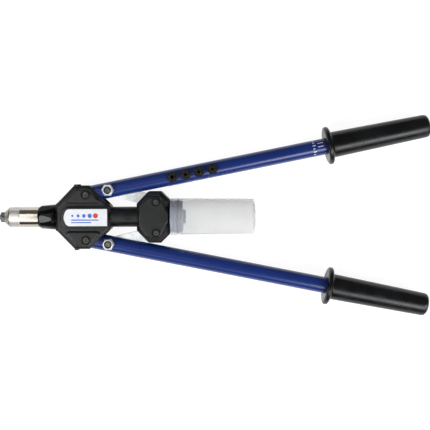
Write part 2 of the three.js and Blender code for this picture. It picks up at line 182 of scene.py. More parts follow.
def gloss_lacquer():
    """Smooth black lacquer."""
    n = Nodes("gloss_black")
    n.colour(n.noise(50.0), [(0.3, (0.0022, 0.0022, 0.002)), (0.7, (0.004, 0.004, 0.0038))])
    n.roughness(120.0, 4.0, 0.1, 0.17)
    n.bump(n.noise(500.0, 2.0), 0.03, 0.0003)
    n.set(IOR=1.5, Specular_IOR_Level=0.11)
    return n.material


def turned_metal(name, low, high, roughness, rings=0.05, metallic=1.0):
    """Bare or plated metal with fine turning rings round the X axis."""
    n = Nodes(name)
    lines = n.noise(1.0, 3.0, n.stretched((5200.0, 40.0, 40.0)))
    n.colour(n.noise(90.0, 4.0), [(0.3, low), (0.7, high)])
    n.link(n.range(lines, roughness - 0.04, roughness + 0.06), n.shader.inputs["Roughness"])
    n.bump(lines, rings, 0.0001)
    n.set(Metallic=metallic)
    return n.material


def plated_steel(name, low, high, roughness, speckle=700.0, metallic=1.0):
    """Zinc plate: cloudy tone with a fine crystal speckle."""
    n = Nodes(name)
    cloud = n.noise(130.0, 5.0)
    crystal = n.add("ShaderNodeTexVoronoi", Scale=speckle)
    n.link(n.coords, crystal.inputs["Vector"])
    crystal_share = 0.35
    mixed = n.add("ShaderNodeMath", operation="MULTIPLY_ADD")
    n.link(crystal.outputs["Distance"], mixed.inputs[0])
    mixed.inputs[1].default_value = crystal_share
    n.link(cloud, mixed.inputs[2])
    n.colour(mixed.outputs[0], [(0.35, low), (0.85, high)])
    n.link(n.range(cloud, roughness - 0.06, roughness + 0.08), n.shader.inputs["Roughness"])
    n.bump(n.noise(900.0, 3.0), 0.08, 0.0001)
    n.set(Metallic=metallic)
    return n.material


def black_oxide(name, dark, middle, light):
    """Blackened steel, rubbed a little brighter in patches."""
    n = Nodes(name)
    n.colour(n.noise(260.0, 5.0), [(0.3, dark), (0.6, middle), (0.8, light)])
    n.roughness(320.0, 4.0, 0.34, 0.5)
    n.bump(n.noise(1600.0, 2.0), 0.12, 0.0001)
    n.set(Metallic=0.75)
    return n.material


def milky_plastic():
    """Blown polyethylene: milky, lets what is inside show as a soft shape."""
    n = Nodes("milky_plastic")
    n.colour(n.noise(45.0), [(0.3, (0.88, 0.878, 0.872)), (0.7, (0.915, 0.913, 0.907))])
    n.roughness(70.0, 4.0, 0.14, 0.2)
    n.bump(n.noise(260.0, 2.0), 0.05, 0.0003)
    n.set(IOR=1.04, Transmission_Weight=0.8)
    return n.material


def printed_foil(name, low, high, roughness=0.32):
    """Smooth label foil or ink."""
    n = Nodes(name)
    n.colour(n.noise(160.0, 4.0), [(0.3, low), (0.7, high)])
    n.roughness(300.0, 3.0, roughness - 0.05, roughness + 0.07)
    n.bump(n.noise(900.0, 2.0), 0.04, 0.0001)
    n.set(Metallic=0.15)
    return n.material


MATERIALS = {
    "black_plastic": moulded_plastic("black_plastic", (0.0038, 0.004, 0.004), (0.0068, 0.007, 0.007), 0.43),
    "grip_plastic": moulded_plastic(
        "grip_plastic", (0.004, 0.004, 0.0042), (0.008, 0.008, 0.0083), 0.27, 900.0, 0.012, 0.3
    ),
    "tube_plastic": moulded_plastic(
        "tube_plastic", (0.003, 0.003, 0.003), (0.006, 0.006, 0.006), 0.34, 900.0, 0.08
    ),
    "blue_paint": painted_tube(),
    "gloss_black": gloss_lacquer(),
    "nickel": turned_metal("nickel", (0.46, 0.42, 0.36), (0.54, 0.49, 0.425), 0.13),
    # Darker copy of the nickel for the sleeve's cone: its darker colour is painted shade.
    "nickel_painted_shade": turned_metal("nickel_painted_shade", (0.28, 0.26, 0.225), (0.36, 0.33, 0.29), 0.24),
    # Lighter, partly diffuse copy of the nickel for the knurled band: the knurl's own whitish matte look,
    # with the lighter colour also a painted sheen of the broad light it catches.
    "knurled_nickel_painted_sheen": turned_metal(
        "knurled_nickel_painted_sheen", (0.76, 0.73, 0.67), (0.86, 0.83, 0.78), 0.4, 0.12, 0.7
    ),
    "zinc": plated_steel("zinc", (0.82, 0.80, 0.76), (0.95, 0.93, 0.89), 0.26, 700.0, 0.65),
    "link_zinc": plated_steel("link_zinc", (0.68, 0.71, 0.73), (0.94, 0.95, 0.95), 0.5, 450.0, 0.7),
    "black_steel": black_oxide(
        "black_steel", (0.016, 0.015, 0.012), (0.034, 0.032, 0.026), (0.07, 0.066, 0.056)
    ),
    # Lighter grey copy of the blackened steel: its grey paints the highlight on the fitted nosepiece's hex
    # flats.
    "nose_steel_painted_highlight": black_oxide("nose_steel_painted_highlight", (0.18, 0.19, 0.205), (0.28, 0.295, 0.32), (0.38, 0.395, 0.42)),
    "steel": turned_metal("steel", (0.30, 0.30, 0.295), (0.42, 0.42, 0.41), 0.3),
    "bolt_steel": turned_metal("bolt_steel", (0.10, 0.105, 0.105), (0.17, 0.175, 0.17), 0.36),
    "dark_steel": turned_metal("dark_steel", (0.060, 0.060, 0.058), (0.105, 0.105, 0.10), 0.42),
    "bronze": plated_steel("bronze", (0.36, 0.23, 0.10), (0.50, 0.34, 0.17), 0.45, 1500.0),
    "nylon": moulded_plastic("nylon", (0.006, 0.030, 0.048), (0.011, 0.045, 0.066), 0.42),
    "slate_plastic": moulded_plastic("slate_plastic", (0.06, 0.12, 0.28), (0.09, 0.165, 0.34), 0.4),
    # The seal's very dark blue is the rubber's own dark colour and also paints the shade in the groove it
    # sits in.
    "rubber": moulded_plastic("rubber", (0.010, 0.018, 0.036), (0.016, 0.028, 0.05), 0.5),
    "milky_plastic": milky_plastic(),
    "label": printed_foil("label", (0.80, 0.815, 0.84), (0.87, 0.88, 0.90)),
    "label_blue": printed_foil("label_blue", (0.05, 0.14, 0.58), (0.07, 0.18, 0.66), 0.4),
    "label_red": printed_foil("label_red", (0.55, 0.04, 0.03), (0.66, 0.06, 0.045), 0.4),
    "print_white": printed_foil("print_white", (0.62, 0.64, 0.70), (0.74, 0.76, 0.80), 0.4),
}


# ---------------------------------------------------------------- mesh making


def rounded(points, steps=5):
    """Replaces each (a, b, radius) corner of a closed outline by an arc; (a, b) corners stay sharp."""
    made = []
    count = len(points)
    for i, point in enumerate(points):
        here = Vector(point[:2])
        radius = point[2] if len(point) > 2 else 0
        back = Vector(points[i - 1][:2]) - here
        ahead = Vector(points[(i + 1) % count][:2]) - here
        if radius <= 0:
            made.append(here)
            continue
        half = min(back.angle(ahead) / 2, math.pi / 2 - 0.005)
        reach = min(radius / math.tan(half), 0.49 * back.length, 0.49 * ahead.length)
        radius = reach * math.tan(half)
        middle = (back.normalized() + ahead.normalized()).normalized()
        centre = here + middle * (radius / math.sin(half))
        start = here + back.normalized() * reach - centre
        end = here + ahead.normalized() * reach - centre
        sweep = start.angle_signed(end)
        for step in range(steps + 1):
            turn = Matrix.Rotation(-sweep * step / steps, 2)
            made.append(centre + turn @ start)
    return made


def both_halves(upper):
    """Closes an outline by repeating its upper half, listed towards +X, below the X axis."""
    return [*upper, *[(p[0], -p[1], *p[2:]) for p in reversed(upper)]]


def mesh_object(name, bm):
    """Turns a finished bmesh into an object of the scene."""
    bmesh.ops.recalc_face_normals(bm, faces=bm.faces)
    mesh = bpy.data.meshes.new(name)
    bm.to_mesh(mesh)
    bm.free()
    obj = bpy.data.objects.new(name, mesh)
    bpy.context.scene.collection.objects.link(obj)
    return obj


def lathe(name, profile, sides=96, steps=5):
    """Turns a closed profile of (x, radius[, fillet]) about the X axis."""
    points = rounded(profile, steps)
    bm = bmesh.new()
    rings = []
    for x, radius in points:
        if radius < 1e-5:
            rings.append([bm.verts.new((x, 0, 0))] * sides)
            continue
        ring = []
        for i in range(sides):
            turn = 2 * math.pi * i / sides
            ring.append(bm.verts.new((x, radius * math.cos(turn), radius * math.sin(turn))))
        rings.append(ring)
    for first, second in zip(rings, rings[1:] + rings[:1]):
        if first[0] is first[1] and second[0] is second[1]:
            continue
        for i in range(sides):
            j = (i + 1) % sides
            corners = list(dict.fromkeys((first[i], first[j], second[j], second[i])))
            bm.faces.new(corners)
    return mesh_object(name, bm)


def inset_outline(outline, distance):
    """Moves every corner of an outline inwards, so that its sides move in by distance."""
    area = sum(a.x * b.y - b.x * a.y for a, b in zip(outline, outline[1:] + outline[:1]))
    turn = 1 if area > 0 else -1
    made = []
    for i, here in enumerate(outline):
        back = (here - outline[i - 1]).normalized()
        ahead = (outline[(i + 1) % len(outline)] - here).normalized()
        normal = Vector((-back.y - ahead.y, back.x + ahead.x)) * turn
        normal.normalize()
        cosine = max(0.3, abs(normal.dot(Vector((-back.y, back.x)))))
        made.append(here + normal * (distance / cosine))
    return made


def stack(name, outline, levels, steps=5):
    """A solid whose section at each (z, inset) level is the outline moved inwards by inset."""
    corners = [Vector(point[:2]) for point in outline]
    radii = [point[2] if len(point) > 2 else 0 for point in outline]
    bm = bmesh.new()
    rings = []
    for z, inset in levels:
        ring = [
            (p.x, p.y, radius and max(radius - inset, min(radius, 0.3)))
            for p, radius in zip(inset_outline(corners, inset), radii)
        ]
        rings.append([bm.verts.new((p.x, p.y, z)) for p in rounded(ring, steps)])
    bm.faces.new(list(reversed(rings[0])))
    bm.faces.new(rings[-1])
    for low, high in zip(rings, rings[1:]):
        for i in range(len(low)):
            j = (i + 1) % len(low)
            bm.faces.new((low[i], low[j], high[j], high[i]))
    return mesh_object(name, bm)


def round_top(z0, z1, radius, steps=4):
    """Levels of a plate from z0 to z1 with a rounded upper rim."""
    levels = [(z0, 0)]
    for step in range(steps + 1):
        turn = math.pi / 2 * step / steps
        levels.append((z1 - radius * (1 - math.sin(turn)), radius * (1 - math.cos(turn))))
    return levels


def both_rims(z0, z1, radius, steps=3):
    """Levels of a plate with both rims rounded."""
    upper = round_top(z0, z1, radius, steps)[1:]
    lower = [(z0 + z1 - z, inset) for z, inset in reversed(upper)]
    return [*lower, *upper]


def box_mesh(name, low, high):
    """A box between two corners."""
    bm = bmesh.new()
    bmesh.ops.create_cube(bm, size=1)
    size = Vector(high) - Vector(low)
    middle = (Vector(high) + Vector(low)) / 2
    for v in bm.verts:
        v.co = Vector(v.co[i] * size[i] + middle[i] for i in range(3))
    return mesh_object(name, bm)


def rod_z(name, radius, z0, z1, x=0.0, y=0.0, sides=48):
    """A plain bar along Z, used for joining and cutting."""
    ring = [(x + radius * math.cos(2 * math.pi * i / sides), y + radius * math.sin(2 * math.pi * i / sides))
            for i in range(sides)]
    return stack(name, ring, [(z0, 0), (z1, 0)])


def turned_z(name, profile, sides=64):
    """Turns a closed profile of (z, radius[, fillet]) about the Z axis."""
    obj = lathe(name, profile, sides)
    obj.data.transform(Matrix.Rotation(-math.pi / 2, 4, "Y"))
    return obj


def baked(obj):
    """Applies an object's modifiers to its mesh."""
    bpy.context.view_layer.update()
    depsgraph = bpy.context.evaluated_depsgraph_get()
    mesh = bpy.data.meshes.new_from_object(obj.evaluated_get(depsgraph))
    obj.modifiers.clear()
    obj.data = mesh
    return obj


def cleaned(obj):
    """Merges stray vertices, so that the next boolean meets a sound mesh."""
    bm = bmesh.new()
    bm.from_mesh(obj.data)
    bmesh.ops.remove_doubles(bm, verts=bm.verts, dist=0.002)
    bmesh.ops.dissolve_degenerate(bm, edges=bm.edges, dist=0.002)
    bm.to_mesh(obj.data)
    bm.free()
    return obj


def boolean(target, tools, operation):
    """Applies each tool to the target in turn and removes the tool."""
    for tool in tools:
        modifier = target.modifiers.new("boolean", "BOOLEAN")
        modifier.object = tool
        modifier.operation = operation
        modifier.solver = "MANIFOLD"
        baked(target)
        bpy.data.objects.remove(tool)
    return target


def cut(target, *tools):
    return boolean(target, tools, "DIFFERENCE")


def join(target, *tools):
    return boolean(target, tools, "UNION")


def soften(obj, width, degrees=28, segments=2):
    """Rounds the edges that are sharper than an angle."""
    modifier = obj.modifiers.new("bevel", "BEVEL")
    modifier.width = width
    modifier.segments = segments
    modifier.limit_method = "ANGLE"
    modifier.angle_limit = math.radians(degrees)
    modifier.use_clamp_overlap = True
    modifier.miter_outer = "MITER_ARC"
    return cleaned(baked(obj))


def moved(obj, x, y):
    """Shifts a mesh in its own XY plane."""
    obj.data.transform(Matrix.Translation((x, y, 0)))
    return obj


def turned_over(obj):
    """Mirrors a front half to make the back half."""
    obj.data.transform(Matrix.Diagonal((1, 1, -1, 1)))
    obj.data.flip_normals()
    return obj


def cut_pin_seat(cover, x, y, face, hole, seat):
    """Cuts a pin's hole and the flat-bottomed recess with a flared mouth round its clip."""
    mouth, floor = face + 1, face - RECESS_DEPTH
    recess = [(floor, 0), (floor, seat), (face - 0.5, seat), (mouth, seat + 1.2), (mouth, 0)]
    cut(cover, rod_z("hole", hole, 0, 30, x, y), moved(turned_z("recess", recess), x, y))


def finish_piece(obj, matrix, body, slot, material=None, nodes=(), sharp=32):
    """Shades a piece, places it in the row frame, gives it the given material or else the slot's, ties it
    to its body and hides its CAD nodes.
    """
    mesh = obj.data
    mesh.transform(matrix)
    mesh.shade_smooth()
    mesh.set_sharp_from_angle(angle=math.radians(sharp))
    weighted = obj.modifiers.new("normals", "WEIGHTED_NORMAL")
    weighted.keep_sharp = True
    baked(obj)
    obj.data.materials.clear()
    obj.data.materials.append(MATERIALS[material or slot])
    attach(obj, body)
    if nodes:
        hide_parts(*nodes)


# ---------------------------------------------------------------- front housing

HOUSING_LOW, HOUSING_HIGH = span("front_cover")
WING_Z = 16.0
BOSS_Z = HOUSING_HIGH.z
ARM_ROOM_Z = 10.4
SPLIT_Z = HOUSING_LOW.z
NOSE_BLOCK_END = -171.0
REAR_BLOCK_START = -136.0
BARREL_ROOM_R = 12.3
CHANNEL_R = 12.8
GUIDE_SEAT_R = 14.3
GUIDE_SEAT_X = (-134.3, -126.9)
RECESS_DEPTH = 2.2
SEAM_HALF = 0.25


def housing_cover():
    """The front moulded half of the front housing."""
    top = HOUSING_HIGH.y
    front, rear = HOUSING_LOW.x, HOUSING_HIGH.x
    outline = both_halves([
        (front, 15.5, 3.0), (front + 2.8, 17.2, 3.0), (-168.8, top, 1.6),
        (-150.5, top, 2.0), (-126.3, 15.2, 2.0), (rear, 12.9, 1.0),
    ])
    cover = stack("cover", outline, [(SPLIT_Z, 0), (9.4, 0), (10.2, 0.25), (12.7, 3.4), (13.2, 4.6)])
    wing = [(-182.2, 16.7, 3.0), (-166.8, 33.9, 2.5), (-150.4, 33.9, 3.0), (-134.4, 16.7, 3.0)]
    for sign in (1, -1):
        plateau = [(x, sign * y, r) for x, y, r in wing][::sign]
        join(cover, stack("wing", plateau, [(8.0, 0), *round_top(13.2, WING_Z, 2.4, 5)]))
    boss = both_halves([(-184.9, 5.2, 5.0), (-182.7, 10.0, 5.0), (-177.9, 12.9, 5.0), (-127.0, 12.9, 1.5)])
    join(cover, stack("boss", boss, [(8.0, 0), *round_top(13.4, BOSS_Z, 1.7)]))
    for sign in (1, -1):
        lip = [(-169.4, sign * (top - 2), 0.3), (-168.6, sign * (top + 0.9), 0.5),
               (-164.6, sign * (top + 0.9), 0.5), (-164.0, sign * (top - 2), 0.3)][::sign]
        join(cover, stack("lip", lip, both_rims(SPLIT_Z + 0.01, 12.0, 0.5)))
    soften(cover, 0.55, 24, 2)

    room = both_halves([(NOSE_BLOCK_END, 33.4, 2.0), (-164.0, 40.8), (-164.0, 50.0), (-110.0, 50.0)])
    cavity = stack("room", room, [(-1.0, 0), (ARM_ROOM_Z, 0)])
    cut(cavity, box_mesh("rear", (REAR_BLOCK_START, -15.4, -20), (-100, 15.4, 20)))
    seat_front, seat_rear = GUIDE_SEAT_X
    channel = lathe("channel", [
        (front - 1, 0), (front - 1, BARREL_ROOM_R), (NOSE_BLOCK_END, BARREL_ROOM_R),
        (NOSE_BLOCK_END, CHANNEL_R), (seat_front, CHANNEL_R), (seat_front, GUIDE_SEAT_R),
        (seat_rear, GUIDE_SEAT_R), (seat_rear, CHANNEL_R), (rear + 2, CHANNEL_R), (rear + 2, 0),
    ])
    cut(cover, cavity, channel)
    for sign in (1, -1):
        cut_pin_seat(cover, PIVOT.x, sign * PIVOT.y, WING_Z, hole=4.1, seat=5.2)
        low_y, high_y = sorted((sign * 15, sign * 22.6))
        cut(cover, box_mesh("parting", (PIVOT.x - SEAM_HALF, low_y, WING_Z - 0.18),
                            (PIVOT.x + SEAM_HALF, high_y, WING_Z + 1)))
    return cover


def cover_pair(make, body, names, nodes):
    """Makes the front half and the back half, which is the same one turned over."""
    for name, node, over in zip(names, nodes, (False, True)):
        shell = turned_over(make()) if over else make()
        shell.name = name
        finish_piece(shell, TOOL, body, "black_plastic", nodes=[node], sharp=38)


cover_pair(
    housing_cover, "housing", ("front_cover_shell", "back_cover_shell"), ("front_cover", "back_cover")
)


FIRST_DOT, DOT_PITCH = 10.5, 6.9


def label():
    """Foil label on the boss, with a generic mark of growing dots and plain bars."""
    low, high = span("label_plate")
    half, face, ink = high.y, high.z - 0.1, 0.09
    outline = [
        (low.x, -2.2, 6.0), (low.x + 3.2, -half, 6.0), (high.x, -half, 0.4),
        (high.x, half, 0.4), (low.x + 3.2, half, 6.0), (low.x, 2.2, 6.0),
    ]
    plate = stack("label_foil", outline, both_rims(low.z, face, 0.08, 2), 8)
    finish_piece(plate, TOOL, "housing", "label", nodes=["label_plate"])
    marks = []
    for i, radius in enumerate((1.4, 1.8, 2.2, 2.6, 3.0)):
        x = low.x + FIRST_DOT + DOT_PITCH * i
        material = "label_red" if i == 4 else "label_blue"
        dot = rod_z(f"label_dot_{i + 1}", radius, face, face + ink, x, 2.2, 40)
        marks.append((dot, material))
    for i, (x0, x1, y0, y1) in enumerate(((9.0, 41.5, -3.6, -2.3), (9.0, 33.0, -6.5, -5.3))):
        bar = box_mesh(f"label_bar_{i + 1}", (low.x + x0, y0, face), (low.x + x1, y1, face + ink))
        marks.append((bar, "label_blue"))
    for mark, material in marks:
        finish_piece(mark, TOOL, "housing", "label", material)


label()

# ---------------------------------------------------------------- nose


BARREL_TURN = math.radians(8)
FLATS_LENGTH, FLATS_APOTHEM, FLATS_SLOPE = 24.0, 12.83, 0.142
KNURL_FRONT, KNURL_REAR = -247.9, -235.6
KNURL_R = 11.8


def nose_barrel():
    """Black barrel with six tapered wrench flats."""
    low, high = span("nose_barrel")
    seat = span("front_cover")[0].x - 0.3
    barrel = lathe("barrel_body", [
        (low.x, 12.3, 1.2), (low.x + 2.6, 13.9, 2.5), (low.x + 17, 15.2, 3.0), (seat, 15.2, 0.3),
        (seat, 12.0), (high.x, 12.0, 0.5), (high.x, 9.8), (low.x, 9.8, 0.3),
    ], 144, 6)
    flats = bmesh.new()
    corner = 1 / math.cos(math.pi / 6)
    bmesh.ops.create_cone(
        flats, segments=6, depth=FLATS_LENGTH, cap_ends=True, radius1=FLATS_APOTHEM * corner,
        radius2=(FLATS_APOTHEM + FLATS_SLOPE * FLATS_LENGTH) * corner,
    )
    wedge = mesh_object("flats", flats)
    wedge.data.transform(
        Matrix.Translation((low.x + FLATS_LENGTH / 2 - 0.1, 0, 0)) @ Matrix.Rotation(math.pi / 2, 4, "Y")
        @ Matrix.Rotation(BARREL_TURN, 4, "Z")
    )
    past, reach = low.x + FLATS_LENGTH - 1.5, high.x + 5
    join(wedge, lathe("behind", [(past, 0), (past, 30), (reach, 30), (reach, 0)], 48))
    boolean(barrel, [wedge], "INTERSECT")
    soften(barrel, 0.22, 20, 2)
    finish_piece(barrel, TOOL, "housing", "gloss_black", nodes=["nose_barrel"], sharp=40)


def nose_sleeve():
    """Plated sleeve in three pieces: a rougher cone whose darker nickel is painted shade, a knurled band
    whose lighter nickel also paints a broad sheen, and a polished body.
    """
    low, high = span("nose_sleeve")
    inner, seat_r, sleeve_r = 9.9, KNURL_R - 0.1, 12.25
    cone = lathe("sleeve_cone", [
        (low.x, 7.2, 0.5), (low.x + 0.5, 7.9, 0.5), (-249.0, 11.9, 0.5), (-248.2, 12.1, 0.3),
        (KNURL_FRONT, seat_r, 0.1), (KNURL_FRONT, inner), (-248.3, inner), (-248.3, 3.3),
        (low.x, 3.3, 0.3),
    ], 128)
    # The cone wears the darker copy of the nickel, which paints the shade on it.
    finish_piece(cone, TOOL, "housing", "nickel", "nickel_painted_shade", ["nose_sleeve"])
    sleeve = lathe("sleeve_body", [
        (KNURL_FRONT, inner), (KNURL_FRONT, seat_r), (KNURL_REAR, seat_r, 0.2),
        (KNURL_REAR + 0.3, sleeve_r, 0.25), (high.x, sleeve_r, 0.5), (high.x, inner, 0.4),
    ], 128)
    finish_piece(sleeve, TOOL, "housing", "nickel", nodes=["nose_sleeve"])
    band = knurl("sleeve_knurl", KNURL_FRONT - 0.05, KNURL_REAR + 0.05, KNURL_R)
    # The knurled band wears the lighter nickel, which is partly painted sheen.
    finish_piece(band, TOOL, "housing", "nickel", "knurled_nickel_painted_sheen", sharp=80)


def knurl(name, x0, x1, radius):
    """A band of fine diamond knurling round the X axis."""
    around, along, height = 150, 26, 0.3
    bm = bmesh.new()
    rings = []
    for i in range(along + 1):
        x = x0 + (x1 - x0) * i / along
        ring = []
        for j in range(around):
            turn = 2 * math.pi * j / around
            raised = height if (i + j) % 2 and 0 < i < along else 0.0
            r = radius + raised
            ring.append(bm.verts.new((x, r * math.cos(turn), r * math.sin(turn))))
        rings.append(ring)
    inner = radius - 0.25
    for x in (x1, x0):
        rings.append([
            bm.verts.new((x, inner * math.cos(turn), inner * math.sin(turn)))
            for turn in (2 * math.pi * j / around for j in range(around))
        ])
    for first, second in zip(rings, rings[1:] + rings[:1]):
        for j in range(around):
            k = (j + 1) % around
            bm.faces.new((first[j], first[k], second[k], second[j]))
    return mesh_object(name, bm)


def hex_head(name, across, z0, z1, chamfer=0.9, both=False):
    """A hexagon along Z with its corners turned off, as on a nut."""
    corner = across / math.sqrt(3)
    turns = [math.radians(60 * i) for i in range(6)]
    ring = [(corner * math.cos(turn), corner * math.sin(turn)) for turn in turns]
    head = stack(name, ring, [(z0, 0), (z1, 0)])
    flat = across / 2 - 0.1
    slope = chamfer / (corner - flat)
    reach = corner + 1.0
    bottom = [(z0 - 0.2, 0), (z0 - 0.2, reach)]
    if both:
        bottom = [(z0, 0), (z0, flat), (z0 + slope * (reach - flat), reach)]
    turned = turned_z("chamfer", [*bottom, (z1 - slope * (reach - flat), reach), (z1, flat), (z1, 0)], 72)
    return boolean(head, [turned], "INTERSECT")


NOSE_HEX, NOSE_HEX_HEIGHT, SHANK = 12.0, 4.8, 4.0


def nosepiece(name, bore, tip, tip_length):
    """A nosepiece along Z: shank, chamfered hexagon and round tip with a countersunk bore."""
    body = hex_head(name, NOSE_HEX, 0.0, NOSE_HEX_HEIGHT, 0.8, True)
    top = NOSE_HEX_HEIGHT + tip_length
    join(body, turned_z("tip", [
        (-SHANK, 0), (-SHANK, 3.0, 0.4), (0.5, 3.0), (0.5, 4.4), (NOSE_HEX_HEIGHT + 0.2, tip + 0.7, 0.6),
        (NOSE_HEX_HEIGHT + 0.9, tip, 0.4), (top, tip, 0.45), (top, 0),
    ]))
    cut(body, turned_z("bore", [
        (-9, 0), (-9, bore), (top - 0.5, bore), (top + 0.5, bore + 1.0), (top + 0.5, 0),
    ], 40))
    return soften(body, 0.15, 25, 2)


nose_barrel()
nose_sleeve()
NOSE_LOW, NOSE_HIGH = span("nosepiece")
fitted = nosepiece("nosepiece_body", 1.7, 2.8, NOSE_HIGH.x - NOSE_LOW.x - NOSE_HEX_HEIGHT - SHANK)
fitted.data.transform(
    Matrix.Translation((NOSE_HIGH.x - SHANK, 0, 0)) @ Matrix.Rotation(-math.pi / 2, 4, "Y")
)
# The fitted nosepiece wears a lighter copy of the blackened steel that the spares wear; the lighter grey is
# a painted highlight.
finish_piece(fitted, TOOL, "housing", "black_steel", "nose_steel_painted_highlight", ["nosepiece"])


# ---------------------------------------------------------------- pins and their clips


def retained_pin(node, clip, body, shaft, x, y):
    """A pin with a domed head at the back and an upset end held by a spring clip at the front."""
    low, high = span(node)
    pin = turned_z(f"{node}_body", [
        (low.z, 0), (low.z, shaft + 0.6, 0.7), (low.z + 1.3, shaft + 1.0, 0.2), (low.z + 1.4, shaft),
        (high.z - 0.1, shaft, 0.7), (high.z - 0.1, shaft * 0.5, 0.3),
        (high.z - 0.5, shaft * 0.35, 0.3), (high.z - 0.5, 0),
    ])
    moved(pin, x, y)
    finish_piece(pin, TOOL, body, "steel", "dark_steel", [node])
    low, high = span(clip)
    # The black clip ring is a retaining ring, and its black also stands in for the shadow in the recess
    # round the pin.
    ring = turned_z(f"{clip}_ring", [
        (low.z, shaft + 0.25), (low.z, shaft + 1.0, 0.3),
        (high.z, shaft + 1.0, 0.3), (high.z, shaft + 0.25),
    ])
    moved(ring, x, y)
    finish_piece(ring, TOOL, body, "black_steel", nodes=[clip])


LINK_PIN_LOW, LINK_PIN_HIGH = span("upper_link_pin")
LINK_PIN_X = (LINK_PIN_LOW.x + LINK_PIN_HIGH.x) / 2
LINK_PIN_Y = (LINK_PIN_LOW.y + LINK_PIN_HIGH.y) / 2
PANEL_Z = span("crosshead_front_cover")[1].z

SIDES = ((1, "upper"), (-1, "lower"))
for sign, word in SIDES:
    pivot, link = f"{word}_pivot", f"{word}_link"
    retained_pin(f"{pivot}_pin", f"{pivot}_clip", "housing", 3.8, PIVOT.x, sign * PIVOT.y)
    retained_pin(f"{link}_pin", f"{link}_clip", "crosshead", 3.5, LINK_PIN_X, sign * LINK_PIN_Y)


# ---------------------------------------------------------------- crosshead


FAN_SWING = math.radians(20)


def crosshead_cover():
    """The front moulded half of the crosshead, with a raised panel and room for the links."""
    low, high = span("crosshead_front_cover")
    top = high.y
    outline = both_halves([
        (low.x, 16.2, 1.5), (-80.2, top - 0.7, 1.5), (-78.6, top, 1.5), (-64.6, top, 1.2),
        (high.x, 20.6, 1.2),
    ])
    cover = stack("cover", outline, [(SPLIT_Z, 0), (9.5, 0), (10.5, 0.3), (13.6, 3.2), (14.4, 4.4)])
    panel = []
    arc_x, arc_r, half_arc, steps = -61.5, 29.7, 54.5, 24
    for i in range(steps + 1):
        turn = math.radians(180 + half_arc - 2 * half_arc * i / steps)
        panel.append((arc_x + arc_r * math.cos(turn), arc_r * math.sin(turn)))
    panel += [(-65.4, 24.2, 1.5), (-55.2, 5.0, 5.0), (-55.2, -5.0, 5.0), (-65.4, -24.2, 1.5)]
    join(cover, stack("panel", panel, [(8.0, -2.2), (14.0, -1.4), *round_top(15.0, PANEL_Z, 2.0)[1:]], 9))
    soften(cover, 0.5, 24, 2)

    rest = math.atan2(BOLT.y - LINK_PIN_Y, BOLT.x - LINK_PIN_X)
    opened = rest - FAN_SWING
    pockets = []
    for sign in (1, -1):
        fan = []
        corners = ((rest, 0, 8.2), (rest, 45, 8.2), (opened, 45, -9), (opened, 0, -9))
        for angle, along, across in corners:
            fan.append((
                LINK_PIN_X + along * math.cos(angle) - across * math.sin(angle),
                sign * (LINK_PIN_Y + along * math.sin(angle) + across * math.cos(angle)),
            ))
        pockets.append(stack("fan", fan[:: -sign], [(-3, 0), (3, 0)]))
        pockets.append(rod_z("eye", 10.9, -3, 3.0, LINK_PIN_X, sign * LINK_PIN_Y))
    cut(
        cover,
        *pockets,
        lathe("bore", [
            (-100, 0), (-100, 12.7), (-91.4, 12.7), (-91.4, 8.6), (-59.8, 8.6), (-59.8, 12.8),
            (-56.6, 12.8), (-56.6, 10.8), (-40, 10.8), (-40, 0),
        ]),
    )
    for sign in (1, -1):
        cut_pin_seat(cover, LINK_PIN_X, sign * LINK_PIN_Y, PANEL_Z, hole=3.8, seat=4.8)
    seam = mould_mark("seam", [(-0.22, -12.5), (0.22, -12.5), (0.22, 12.5), (-0.22, 12.5)], 0.12)
    gate = mould_mark("gate", [(-0.8, 10.4), (0.9, 3.4), (1.3, 5.0), (0, 10.6)], 0.1)
    return join(cover, seam, gate)


def mould_mark(name, outline, height):
    """A faint raised mark of the mould on the crosshead panel."""
    ring = [(LINK_PIN_X + x, y) for x, y in outline]
    return stack(name, ring, [(PANEL_Z - 1, 0), (PANEL_Z + height, height)])


cover_pair(
    crosshead_cover, "crosshead", ("crosshead_front_shell", "crosshead_back_shell"),
    ("crosshead_front_cover", "crosshead_back_cover"),
)


def crosshead_tubes():
    """The black outer tube and the steel traction tube inside it."""
    low, high = span("sleeve_tube")
    outer, inner = 12.4, 8.6
    sleeve = lathe("sleeve_tube_body", [
        (low.x, outer, 0.8), (high.x, outer, 0.4), (high.x, inner), (low.x, inner, 0.3),
    ])
    finish_piece(sleeve, TOOL, "crosshead", "black_plastic", "tube_plastic", ["sleeve_tube"])
    low, high = span("traction_tube")
    tube = lathe("traction_tube_body", [
        (low.x, 7.3, 0.3), (-193.1, 7.3), (-193.1, 8.3, 0.3), (high.x, 8.3, 0.8), (high.x, 4.5, 0.5),
        (-194.0, 4.5), (-194.0, 5.7), (low.x, 5.7, 0.2),
    ], 72)
    finish_piece(tube, TOOL, "crosshead", "steel", nodes=["traction_tube"])


crosshead_tubes()

# ---------------------------------------------------------------- collector


